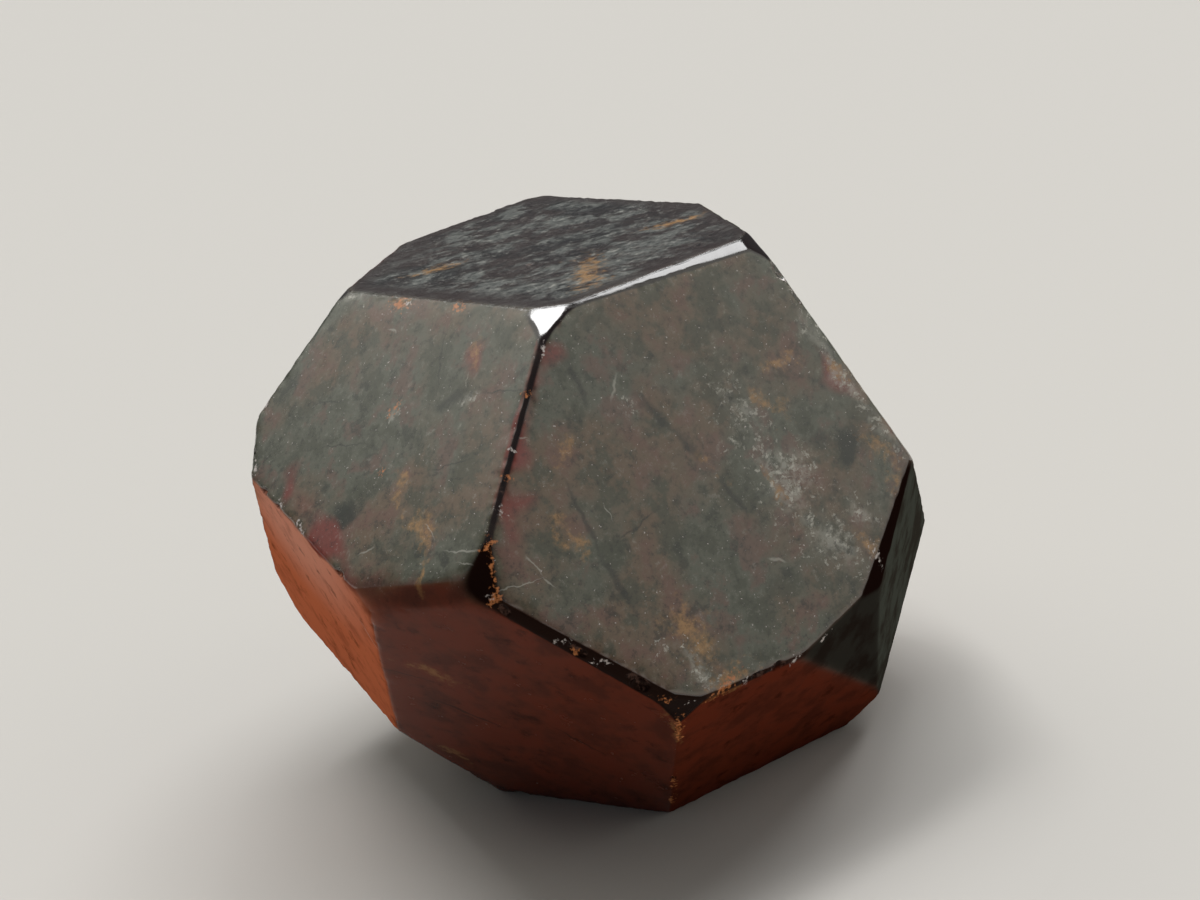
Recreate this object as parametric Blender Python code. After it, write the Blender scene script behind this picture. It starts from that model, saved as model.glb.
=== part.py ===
"""A garnet crystal: one natural lump, 61 mm across, standing on its flat lower face.

Twenty crystal faces meet at worn edges. The top face is etched, the other faces are smooth.
Everything is one solid, in metres, with +Z up and the origin under the middle of the crystal.
"""

from math import acos, cos, radians, sin, tan

import bmesh
import bpy
from mathutils import Matrix, Vector, noise

MM = 0.001

# The crystal's centre, where all its faces are measured from, in mm above the surface it rests on
CENTRE = Vector((0.48, -0.05, 22.6))

# Each face: compass angle of its outward direction (0 is +X, 90 is +Y) and its rise above
# level, both in degrees, then its distance from the crystal's centre in mm
FACES = {
    "top": (0, 90, 23.1),
    "bottom": (0, -90, 22.6),
    "left": (-137.5, 44, 24.2),
    "front": (-61.5, 22, 22.7),
    "lower_left": (-120.5, -29, 22.2),
    "lower_right": (-65.5, -35.5, 25.3),
    "right_low": (-27, -14, 27.4),
    "right_high": (9.5, 23.5, 23.7),
    "right_under": (19.5, -44.5, 26.4),
    "left_low": (-154, -10.5, 24.2),
    "left_side": (179.5, 14, 29.0),
    "left_high": (162, 44, 27.9),
    "left_under": (-162.5, -38.5, 25.6),
    "back": (77, 6, 26.5),
    "back_left": (128, -15, 26.5),
    "back_right": (42, -7, 27.0),
    "back_left_high": (126, 40.5, 30.0),
    "back_right_high": (39, 40.5, 27.3),
    "back_under": (94, -48.5, 25.5),
    "back_left_under": (142, -46, 25.5),
}

# Worn edges: the two faces that meet, the face that ends the edge at each end, and the width
# of the flat worn strip there in mm
WORN_EDGES = [
    ("top", "front", "left", 0.5, "right_high", 1.9),
    ("left", "front", "top", 0.6, "lower_left", 0.5),
    ("left", "lower_left", "left_low", 2.0, "front", 1.7),
    ("front", "lower_left", "left", 0.7, "lower_right", 1.0),
    ("front", "lower_right", "lower_left", 0.4, "right_low", 0.4),
    ("front", "right_low", "right_high", 0.4, "lower_right", 2.6),
    ("front", "right_high", "top", 0.5, "right_low", 0.6),
    ("top", "left", "left_high", 0.5, "front", 0.4),
    ("back", "back_left", "back_left_high", 0.7, "back_under", 1.6),
    ("right_high", "back_right", "back_right_high", 0.5, "right_under", 1.3),
    ("back_left", "left_low", "left_side", 1.2, "left_under", 0.5),
]

# Worn corners: the three faces that meet there, and how far the flat cut reaches along the
# edge between the first two, the last two, and the last and first, in mm
WORN_CORNERS = [
    ("top", "left", "front", 2.9, 2.7, 2.3),
    ("left", "front", "lower_left", 5.2, 2.3, 1.9),
    ("front", "lower_left", "lower_right", 2.9, 2.6, 2.5),
    ("front", "lower_right", "right_low", 6.8, 15.5, 4.4),
    ("top", "front", "right_high", 1.9, 2.6, 2.3),
    ("top", "left", "left_high", 1.2, 0.9, 1.0),
    ("left", "left_low", "lower_left", 0.8, 0.7, 0.9),
    ("back", "back_left", "back_under", 3.1, 2.4, 2.0),
    ("back_right", "right_high", "right_under", 2.2, 2.6, 1.8),
    ("top", "back_left_high", "back_right_high", 1.6, 2.1, 1.3),
]

# Chips along the edges: the two faces, the face that ends the edge, how far from that end,
# then the chip's length and depth, all in mm
CHIPS = [
    ("front", "lower_left", "lower_right", 3.6, 2.4, 0.45),
    ("front", "lower_left", "lower_right", 6.9, 1.6, 0.3),
    ("front", "lower_left", "lower_right", 9.8, 2.0, 0.35),
    ("front", "lower_left", "left", 2.6, 1.5, 0.3),
    ("front", "lower_left", "left", 6.2, 1.2, 0.25),
    ("front", "lower_right", "lower_left", 4.6, 1.4, 0.3),
    ("front", "lower_right", "right_low", 8.2, 2.2, 0.4),
    ("front", "right_high", "top", 3.6, 2.1, 0.35),
    ("front", "right_high", "top", 6.4, 1.3, 0.25),
    ("left", "front", "top", 3.4, 1.2, 0.25),
    ("left", "front", "lower_left", 6.9, 1.3, 0.25),
    ("left", "lower_left", "left_low", 4.2, 1.5, 0.3),
    ("left", "left_low", "left_side", 2.9, 1.4, 0.3),
    ("left", "left_low", "lower_left", 4.4, 1.6, 0.3),
    ("top", "left", "front", 11.4, 1.7, 0.3),
    ("top", "left", "front", 6.9, 1.2, 0.25),
    ("lower_left", "bottom", "left_under", 2.4, 2.2, 0.4),
    ("lower_left", "lower_right", "bottom", 7.5, 1.6, 0.3),
    ("back", "back_left", "back_under", 8.0, 2.0, 0.35),
    ("back_right_high", "right_high", "top", 5.0, 1.8, 0.3),
    ("top", "back_left_high", "back_right_high", 6.0, 1.9, 0.3),
]

# The etching of the top face: its streaks' pitch along and across them, their heading, and
# the deepest hollow, with no etching nearer an edge than the margin
STREAK_LENGTH = 3.0 * MM
STREAK_PITCH = 0.9 * MM
STREAK_HEADING = radians(14)
ETCH_DEPTH = 0.28 * MM
ETCH_MARGIN = 1.2 * MM

# How far the edges that are not worn flat are rounded
ROUNDING = 0.15 * MM


def facing(name):
    """The outward direction of a face."""
    compass, rise, _ = FACES[name]
    compass, rise = radians(compass), radians(rise)
    return Vector((cos(compass) * cos(rise), sin(compass) * cos(rise), sin(rise)))


def distance(name):
    return FACES[name][2]


def corner_of(a, b, c):
    """Where three faces would meet if nothing were worn, in mm from the crystal's centre."""
    directions = Matrix((facing(a), facing(b), facing(c)))
    return directions.inverted() @ Vector((distance(a), distance(b), distance(c)))


def along_edge(a, b, end):
    """The end corner of the edge between two faces, and the unit direction leading away from it."""
    start = corner_of(a, b, end)
    way = facing(a).cross(facing(b)).normalized()
    if way.dot(facing(end)) > 0:
        way.negate()
    return start, way


def slice_off(bm, point, outward):
    """Cuts the solid along a plane and closes it: the outside of the plane is removed."""
    geometry = bm.verts[:] + bm.edges[:] + bm.faces[:]
    bmesh.ops.bisect_plane(
        bm, geom=geometry, dist=1e-7, plane_co=point, plane_no=outward, clear_outer=True
    )
    rim = [edge for edge in bm.edges if edge.is_boundary]
    if rim:
        bmesh.ops.edgeloop_fill(bm, edges=rim)


def cut_faces(bm):
    for name in FACES:
        slice_off(bm, facing(name) * distance(name) * MM, facing(name))


def round_edges(bm):
    bmesh.ops.bevel(
        bm, geom=bm.edges[:], offset=ROUNDING, offset_type="OFFSET", segments=2, profile=0.5,
        affect="EDGES", clamp_overlap=True,
    )


def wear_edge(bm, a, b, first, first_width, last, last_width):
    """Cuts a flat strip along an edge, wider at one end than at the other."""
    bisector = (facing(a) + facing(b)).normalized()
    half_turn = acos(facing(a).dot(facing(b))) / 2
    start = corner_of(a, b, first) - bisector * first_width / 2 * tan(half_turn)
    end = corner_of(a, b, last) - bisector * last_width / 2 * tan(half_turn)
    across = bisector.cross(facing(a).cross(facing(b)))
    outward = across.cross(end - start).normalized()
    if outward.dot(bisector) < 0:
        outward.negate()
    slice_off(bm, start * MM, outward)


def wear_corner(bm, a, b, c, reach_ab, reach_bc, reach_ca):
    """Cuts a flat triangle across a corner."""
    corner, away_ab = along_edge(a, b, c)
    away_bc = along_edge(b, c, a)[1]
    away_ca = along_edge(c, a, b)[1]
    points = [corner + away_ab * reach_ab, corner + away_bc * reach_bc, corner + away_ca * reach_ca]
    outward = (points[1] - points[0]).cross(points[2] - points[0]).normalized()
    if outward.dot(corner) < 0:
        outward.negate()
    slice_off(bm, points[0] * MM, outward)


def etch_top(bm):
    """Divides the top face into a grid along its streaks, and sinks the grid's points unevenly."""
    level = distance("top") * MM
    along = Vector((cos(STREAK_HEADING), sin(STREAK_HEADING), 0))
    across = Vector((-along.y, along.x, 0))
    for way, pitch in ((along, STREAK_LENGTH), (across, STREAK_PITCH)):
        steps = int(30 * MM / pitch)
        for step in range(-steps, steps + 1):
            top = [face for face in bm.faces if face.normal.z > 0.999 and face.calc_center_median().z > 0]
            geometry = top + list({e for f in top for e in f.edges}) + list({v for f in top for v in f.verts})
            bmesh.ops.bisect_plane(bm, geom=geometry, dist=1e-6, plane_co=way * step * pitch, plane_no=way)
    top = [face for face in bm.faces if face.normal.z > 0.999 and face.calc_center_median().z > 0]
    inner = {v for f in top for v in f.verts if all(abs(g.normal.z) > 0.999 for g in v.link_faces)}
    rim = [e for f in top for e in f.edges if not e.is_manifold or any(g.normal.z < 0.99 for g in e.link_faces)]
    for vert in inner:
        clear = min(distance_to_edge(vert.co, edge) for edge in rim)
        if clear < ETCH_MARGIN:
            continue
        place = Vector((vert.co.dot(along) / STREAK_LENGTH, vert.co.dot(across) / STREAK_PITCH / 1.5, 0.5))
        hollow = 0.5 + 0.5 * noise.noise(place)
        vert.co.z = level - ETCH_DEPTH * hollow


def distance_to_edge(point, edge):
    start, end = edge.verts[0].co, edge.verts[1].co
    span = end - start
    share = max(0.0, min(1.0, (point - start).dot(span) / span.length_squared))
    return (point - start - span * share).length


def chip_cutter(a, b, end, offset, length, depth):
    """A flattened ball lying along an edge, sunk into it by the chip's depth."""
    start, way = along_edge(a, b, end)
    bisector = (facing(a) + facing(b)).normalized()
    across = bisector.cross(way)
    size = (length / 2, length / 2.6, length / 3.2)
    middle = start + way * offset + bisector * (size[2] - depth - 0.25)
    turn = Matrix((way, across, bisector)).transposed().to_4x4()
    return Matrix.Translation((middle + CENTRE) * MM) @ turn @ Matrix.Diagonal([s * MM for s in size] + [1])


def make_material():
    material = bpy.data.materials.new("dark red garnet")
    material.use_nodes = True
    surface = material.node_tree.nodes["Principled BSDF"]
    surface.inputs["Base Color"].default_value = (0.030, 0.006, 0.004, 1)
    surface.inputs["Roughness"].default_value = 0.22
    surface.inputs["Metallic"].default_value = 0.0
    surface.inputs["IOR"].default_value = 1.79
    return material


def make_crystal():
    bm = bmesh.new()
    bmesh.ops.create_cube(bm, size=90 * MM)
    cut_faces(bm)
    round_edges(bm)
    for edge in WORN_EDGES:
        wear_edge(bm, *edge)
    for corner in WORN_CORNERS:
        wear_corner(bm, *corner)
    etch_top(bm)
    bmesh.ops.translate(bm, verts=bm.verts, vec=CENTRE * MM)
    bmesh.ops.recalc_face_normals(bm, faces=bm.faces)
    mesh = bpy.data.meshes.new("garnet_crystal")
    bm.to_mesh(mesh)
    bm.free()
    crystal = bpy.data.objects.new("garnet_crystal", mesh)
    bpy.context.scene.collection.objects.link(crystal)
    crystal.data.materials.append(make_material())
    return crystal


def make_chips():
    """All the chip cutters in one hidden object."""
    bm = bmesh.new()
    for chip in CHIPS:
        bmesh.ops.create_icosphere(bm, subdivisions=2, radius=1, matrix=chip_cutter(*chip))
    mesh = bpy.data.meshes.new("chip_cutters")
    bm.to_mesh(mesh)
    bm.free()
    cutters = bpy.data.objects.new("chip_cutters", mesh)
    bpy.context.scene.collection.objects.link(cutters)
    cutters.hide_render = True
    cutters.hide_viewport = True
    return cutters


def finish(crystal, cutters):
    """Takes the chips out."""
    chipping = crystal.modifiers.new("chipping", "BOOLEAN")
    chipping.operation = "DIFFERENCE"
    chipping.solver = "EXACT"
    chipping.object = cutters


for item in list(bpy.data.objects):
    bpy.data.objects.remove(item)
finish(make_crystal(), make_chips())
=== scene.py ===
"""A garnet crystal the size of a small fist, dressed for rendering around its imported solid.

One natural lump with twenty faces: its top is etched, the others are polished. Its edges are worn
and chipped.
"""

from math import radians

import bpy
import numpy as np
from mathutils import Matrix
from mathutils.geometry import delaunay_2d_cdt


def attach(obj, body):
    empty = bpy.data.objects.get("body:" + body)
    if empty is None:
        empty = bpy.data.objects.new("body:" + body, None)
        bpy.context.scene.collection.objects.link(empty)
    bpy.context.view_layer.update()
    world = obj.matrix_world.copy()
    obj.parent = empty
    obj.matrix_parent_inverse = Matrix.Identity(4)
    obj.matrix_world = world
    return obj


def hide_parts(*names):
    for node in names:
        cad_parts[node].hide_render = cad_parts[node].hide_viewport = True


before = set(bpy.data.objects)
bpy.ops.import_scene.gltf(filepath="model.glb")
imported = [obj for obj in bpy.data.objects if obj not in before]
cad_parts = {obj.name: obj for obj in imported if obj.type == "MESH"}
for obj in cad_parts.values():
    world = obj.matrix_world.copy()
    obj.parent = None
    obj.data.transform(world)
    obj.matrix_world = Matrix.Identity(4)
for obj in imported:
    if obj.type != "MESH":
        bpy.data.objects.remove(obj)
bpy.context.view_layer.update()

# ---- The crystal's faces ----
# The crystal grew with flat faces, and it stands on one of them. Here they are in the places of
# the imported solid, each by the compass angle and the rise of its outward direction, in degrees,
# and its distance from the crystal's middle, in mm.

MM = 0.001
MIDDLE = np.array((0.48, -0.05, 22.6))
FACES = {
    "top": (0, 90, 23.1),
    "bottom": (0, -90, 22.6),
    "left": (-137.5, 44, 24.2),
    "front": (-61.5, 22, 22.7),
    "lower_left": (-120.5, -29, 22.2),
    "lower_right": (-65.5, -35.5, 25.3),
    "right_low": (-27, -14, 27.4),
    "right_high": (9.5, 23.5, 23.7),
    "right_under": (19.5, -44.5, 26.4),
    "left_low": (-154, -10.5, 24.2),
    "left_side": (179.5, 14, 29.0),
    "left_high": (162, 44, 27.9),
    "left_under": (-162.5, -38.5, 25.6),
    "back": (77, 6, 26.5),
    "back_left": (128, -15, 26.5),
    "back_right": (42, -7, 27.0),
    "back_left_high": (126, 40.5, 30.0),
    "back_right_high": (39, 40.5, 27.3),
    "back_under": (94, -48.5, 25.5),
    "back_left_under": (142, -46, 25.5),
}

TINY = 1e-6


def direction_at(compass, rise):
    """The unit direction with a compass angle and a rise in degrees: 0 is +X, 90 is +Y."""
    compass, rise = np.radians((compass, rise))
    level = np.cos(rise)
    return np.array((np.cos(compass) * level, np.sin(compass) * level, np.sin(rise)))


def outward(name):
    """The unit direction a face looks in, from its compass angle and rise."""
    return direction_at(*FACES[name][:2])


def right_and_up(normal):
    """Two directions in a plane: level to the right, seen from outside, and up from it."""
    level = np.array((-normal[1], normal[0], 0.0))
    length = np.linalg.norm(level)
    right = level / length if length > TINY else np.array((1.0, 0.0, 0.0))
    return right, np.cross(normal, right)


def on_face(name, across, rise):
    """A point of a face, in mm from the crystal's middle: to the right and up from the face's foot."""
    normal = outward(name)
    right, up = right_and_up(normal)
    return normal * FACES[name][2] + right * across + up * rise


# ---- Its worn edges and corners ----
# Long handling has rubbed the edges between two faces to narrow bands, and the corners to small
# facets. Each band widens from one end to the other, and each facet reaches along three edges.

# The two faces, then the face at each end of their edge and the band's width there, in mm
WORN_EDGES = [
    ("top", "front", "left", 0.35, "right_high", 1.5),
    ("left", "front", "top", 0.45, "lower_left", 0.45),
    ("left", "lower_left", "left_low", 2.0, "front", 1.7),
    ("front", "lower_left", "left", 0.9, "lower_right", 1.3),
    ("front", "lower_right", "lower_left", 0.4, "right_low", 0.4),
    ("front", "right_low", "right_high", 0.4, "lower_right", 2.6),
    ("front", "right_high", "top", 0.5, "right_low", 0.6),
    ("top", "left", "left_high", 0.35, "front", 0.4),
    ("back", "back_left", "back_left_high", 0.7, "back_under", 1.6),
    ("right_high", "back_right", "back_right_high", 0.5, "right_under", 1.3),
    ("back_left", "left_low", "left_side", 1.2, "left_under", 0.5),
]

# The three faces, then how far the facet reaches along the edge between the first two, the last
# two, and the last and first, in mm
WORN_CORNERS = [
    ("top", "left", "front", 2.9, 2.7, 2.3),
    ("left", "front", "lower_left", 4.4, 2.3, 1.9),
    ("front", "lower_left", "lower_right", 2.9, 2.6, 2.5),
    ("front", "lower_right", "right_low", 6.8, 15.5, 4.4),
    ("top", "front", "right_high", 1.9, 2.6, 2.3),
    ("top", "left", "left_high", 1.2, 0.9, 1.0),
    ("back", "back_left", "back_under", 3.1, 2.4, 2.0),
    ("back_right", "right_high", "right_under", 2.2, 2.6, 1.8),
    ("top", "back_left_high", "back_right_high", 1.6, 2.1, 1.3),
]


def corner_of(a, b, c):
    """Where three unworn faces would meet: the one point at all three faces' distances."""
    return np.linalg.solve([outward(name) for name in (a, b, c)], [FACES[name][2] for name in (a, b, c)])


def leaving(a, b, end):
    """The unit direction along the edge between a and b, away from the face that ends it."""
    way = np.cross(outward(a), outward(b))
    way /= np.linalg.norm(way)
    return -way if way @ outward(end) > 0 else way


def band_plane(a, b, first, first_width, last, last_width):
    """The plane of a worn band: it lies across the edge, sunk half its width times the slope."""
    bisector = outward(a) + outward(b)
    bisector /= np.linalg.norm(bisector)
    slope = np.tan(np.arccos(outward(a) @ outward(b)) / 2)
    start = corner_of(a, b, first) - bisector * first_width / 2 * slope
    end = corner_of(a, b, last) - bisector * last_width / 2 * slope
    normal = np.cross(np.cross(bisector, np.cross(outward(a), outward(b))), end - start)
    normal /= np.linalg.norm(normal) * np.sign(normal @ bisector)
    return normal, normal @ start


def facet_plane(a, b, c, reach_ab, reach_bc, reach_ca):
    """The plane of a worn corner, through three points on the edges that met there."""
    corner = corner_of(a, b, c)
    first = corner + leaving(a, b, c) * reach_ab
    second = corner + leaving(b, c, a) * reach_bc
    third = corner + leaving(c, a, b) * reach_ca
    normal = np.cross(second - first, third - first)
    normal /= np.linalg.norm(normal) * np.sign(normal @ corner)
    return normal, normal @ first


planes = [(outward(name), FACES[name][2]) for name in FACES]
planes += [band_plane(*edge) for edge in WORN_EDGES]
planes += [facet_plane(*corner) for corner in WORN_CORNERS]
plane_normals = np.array([normal for normal, _ in planes])
plane_distances = np.array([distance for _, distance in planes])
face_names = list(FACES)
first_worn = len(FACES)
plane_makers = [(name,) for name in FACES] + [edge[:2] for edge in WORN_EDGES]
plane_makers += [corner[:3] for corner in WORN_CORNERS]

SAME_DIGITS = 4


def corner_points(normals, distances):
    """Every corner of the body that the planes enclose: each three planes' meeting point that no
    other plane cuts off. Returns the points and, for each, which planes pass through it."""
    count = len(normals)
    i, j, k = np.array([(a, b, c) for a in range(count) for b in range(a) for c in range(b)]).T
    matrices = np.stack([normals[i], normals[j], normals[k]], axis=1)
    meets = np.abs(np.linalg.det(matrices)) > TINY
    offsets = np.stack([distances[i], distances[j], distances[k]], axis=1)
    points = np.linalg.solve(matrices[meets], offsets[meets][..., None])[..., 0]
    inside = (points @ normals.T <= distances + TINY).all(axis=1)
    points = points[inside]
    _, kept = np.unique(np.round(points, SAME_DIGITS), axis=0, return_index=True)
    points = points[kept]
    return points, np.abs(points @ normals.T - distances) < 0.1 ** SAME_DIGITS


corners, touches = corner_points(plane_normals, plane_distances)

# ---- The body of the crystal ----
# Solid garnet in one closed skin. Every face, band and facet is a flat polygon filled with points:
# rows beside its edges, a lattice inside and finer patches at the chips, joined by Delaunay's rule.
# Then each point is moved along its ray from the middle, to the rounded, etched or chipped surface.

# The spacing of the skin's points in mm: along the edges, in rows beside them, at the chips, and
# over the faces and the worn bands. A lattice row is a share of the step above the last one.
RIM_STEP = 0.22
ROWS_BESIDE_EDGES = (0.09, 0.22, 0.45)
CHIP_STEP = 0.13
LATTICE_STEP = {"top": 0.34, "front": 0.55, "left": 0.6, "lower_left": 0.65, "lower_right": 0.7}
PLAIN_LATTICE_STEP = 0.9
WORN_LATTICE_STEP = 0.3
LATTICE_ROW = 0.87
LATTICE_MARGIN = 0.4
ROW_LIMIT = 0.95
ROW_SLACK = 0.01
CHIP_PATCH = 1.15
CHIP_MARGIN = 0.06
MERGE_STEP = 0.05

# Chips along the edges: the two faces, the face that ends the edge, how far from that end, then
# the chip's length and depth, all in mm, and how much it leans to the second face
EDGE_CHIPS = [
    ("front", "lower_left", "lower_right", 3.9, 1.6, 0.30, 0.2),
    ("front", "lower_left", "lower_right", 9.2, 1.3, 0.22, -0.3),
    ("front", "lower_left", "left", 2.6, 1.2, 0.22, -0.2),
    ("front", "lower_right", "lower_left", 4.2, 0.9, 0.20, 0.0),
    ("front", "lower_right", "lower_left", 6.0, 0.8, 0.18, 0.2),
    ("front", "lower_right", "right_low", 8.2, 1.8, 0.35, 0.3),
    ("front", "lower_right", "right_low", 10.6, 1.0, 0.22, 0.2),
    ("front", "right_high", "top", 3.6, 1.8, 0.30, 0.0),
    ("front", "right_high", "top", 6.0, 1.0, 0.22, 0.1),
    ("left", "front", "lower_left", 8.0, 0.8, 0.16, 0.5),
    ("left", "left_low", "left_side", 2.9, 1.1, 0.25, -0.1),
    ("left", "left_low", "left_side", 5.2, 0.8, 0.18, -0.2),
    ("left", "left_low", "lower_left", 4.4, 1.3, 0.25, -0.2),
    ("lower_left", "bottom", "left_under", 2.4, 1.8, 0.32, -0.3),
    ("lower_left", "left_under", "bottom", 3.0, 1.4, 0.28, -0.2),
    ("lower_left", "lower_right", "bottom", 7.5, 1.2, 0.24, 0.0),
    ("lower_left", "lower_right", "front", 3.6, 0.8, 0.20, 0.0),
    ("left", "left_side", "left_low", 2.2, 0.9, 0.20, 0.0),
    ("left", "left_high", "left_side", 1.2, 0.9, 0.20, 0.0),
    ("back", "back_left", "back_under", 8.0, 1.8, 0.32, 0.1),
    ("back_right_high", "right_high", "top", 5.0, 1.6, 0.28, 0.0),
    ("top", "back_left_high", "back_right_high", 6.0, 1.6, 0.26, 0.2),
    ("back_left", "left_side", "left_low", 4.0, 1.3, 0.26, 0.0),
    ("back_right", "right_under", "right_high", 5.0, 1.6, 0.30, 0.1),
]

# Pits in the faces: the face, where in it, then length, width and depth, all in mm
PITS = [
    ("top", 3.9, -8.0, 1.4, 1.8, 0.25),
    ("top", -0.7, -1.4, 1.6, 0.9, 0.25),
    ("top", 8.2, 2.6, 1.5, 1.0, 0.25),
    ("top", -9.0, 5.2, 1.3, 0.8, 0.20),
]

# A chip is made of three balls. Their sizes are shares of its length, and each ball's tilt, turn,
# place, size and depth are drawn at random within these.
BALLS_IN_CHIP = 3
BALL_SIZES = (0.50, 0.36, 0.30)
BALL_LEAST = 0.5
BALL_TURN = 0.5
BALL_SCATTER = 0.35
BALL_RISE = 0.75
SHARP_EDGE_LOSS = 0.12
FIELD_CELLS = 64


def random_field(points, seed):
    """Smooth random values from 0 to 1: eight lattice values blended with smoothstep shares."""
    values = np.random.default_rng(seed).random((FIELD_CELLS, FIELD_CELLS, FIELD_CELLS))
    cell = np.floor(points).astype(int)
    share = points - cell
    share = share * share * (3 - 2 * share)
    field = np.zeros(len(points))
    for corner in np.ndindex(2, 2, 2):
        x, y, z = ((cell + corner) % FIELD_CELLS).T
        field += np.abs(1 - np.array(corner) - share).prod(axis=1) * values[x, y, z]
    return field


def chip_balls(draw, a, b, end, offset, length, depth, lean):
    """A chip as overlapping balls beside an edge, each drawn at random about the chip's middle.
    A ball is its middle, its axes (along the edge, across it, outwards) and its size. It starts
    from the worn band, so it is moved in by what the wear has taken off the edge."""
    way = leaving(a, b, end)
    seat = corner_of(a, b, end)
    bisector = outward(a) + outward(b)
    bisector = bisector / np.linalg.norm(bisector)
    lost = SHARP_EDGE_LOSS
    for index, edge in enumerate(WORN_EDGES):
        if set(edge[:2]) == {a, b}:
            normal, distance = planes[first_worn + index]
            lost = ((seat + way * offset) @ normal - distance) / (bisector @ normal)
    made = []
    for _ in range(BALLS_IN_CHIP):
        tilt = lean + draw.uniform(-BALL_TURN, BALL_TURN)
        out = outward(a) * (1 - tilt) + outward(b) * (1 + tilt)
        out -= way * (out @ way)
        out /= np.linalg.norm(out)
        turn = draw.uniform(-BALL_TURN, BALL_TURN)
        across = np.cross(out, way)
        along = way * np.cos(turn) + across * np.sin(turn)
        size = np.array(BALL_SIZES) * length * draw.uniform(BALL_LEAST, 1.0)
        middle = seat + way * (offset + draw.uniform(-BALL_SCATTER, BALL_SCATTER) * length)
        middle = middle + out * (size[2] * BALL_RISE - depth * draw.uniform(BALL_LEAST, 1.0) - lost)
        made.append((middle, np.stack([along, np.cross(out, along), out]), size))
    return made


def pit_ball(name, across, rise, length, width, depth):
    """A pit as one flat ball, twice as deep as the pit, whose middle is the pit's depth above."""
    right, up = right_and_up(outward(name))
    size = np.array((length / 2, width / 2, depth * 2))
    middle = on_face(name, across, rise) + outward(name) * depth
    return middle, np.stack([right, up, outward(name)]), size


chip_draw = np.random.default_rng(21)
balls = [ball for chip in EDGE_CHIPS for ball in chip_balls(chip_draw, *chip)]
balls += [pit_ball(*pit) for pit in PITS]


def polygon_of(index):
    """The corners of one plane's polygon, in order round it, seen from outside."""
    members = np.flatnonzero(touches[:, index])
    right, up = right_and_up(plane_normals[index])
    flat = corners[members] @ np.stack([right, up], axis=1)
    around = flat - flat.mean(axis=0)
    return members[np.argsort(np.arctan2(around[:, 1], around[:, 0]))]


def lattice(low, high, step):
    """A triangular lattice over a rectangle: even rows, every other one moved half a step."""
    columns = np.arange(low[0], high[0] + step, step)
    rows = np.arange(low[1], high[1] + step, step * LATTICE_ROW)
    x, y = np.meshgrid(columns, rows)
    x = x + np.where(np.arange(len(rows)) % 2, step / 2, 0.0)[:, None]
    return np.stack([x.ravel(), y.ravel()], axis=1)


# Which finish each plane has: glossy, a shaded copy for the lower faces, a shaded copy that mirrors
# nothing, or the etched top's. A face whose direction rises less than the slope is a lower one, and
# one band goes with those.
GLOSSY, LOWER_SHADED, SHADED_NO_MIRROR, ETCHED_TOP = range(4)
LOWER_SLOPE = 0.05
LOWER_BAND = ("left", "lower_left")
# Painted shade: the planes here are coloured a dark grey-green where they lie in shade.
COOL_SHADE = [("right_low",), ("front", "right_low"), ("front", "lower_right", "right_low")]
# These take the shaded copy that mirrors nothing, so that their painted colour shows.
SHADED_PLANES = COOL_SHADE + [("left_low",), ("lower_right",), ("left", "front", "lower_left")]
INSIDE_RIM_ONLY = 1

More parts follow.
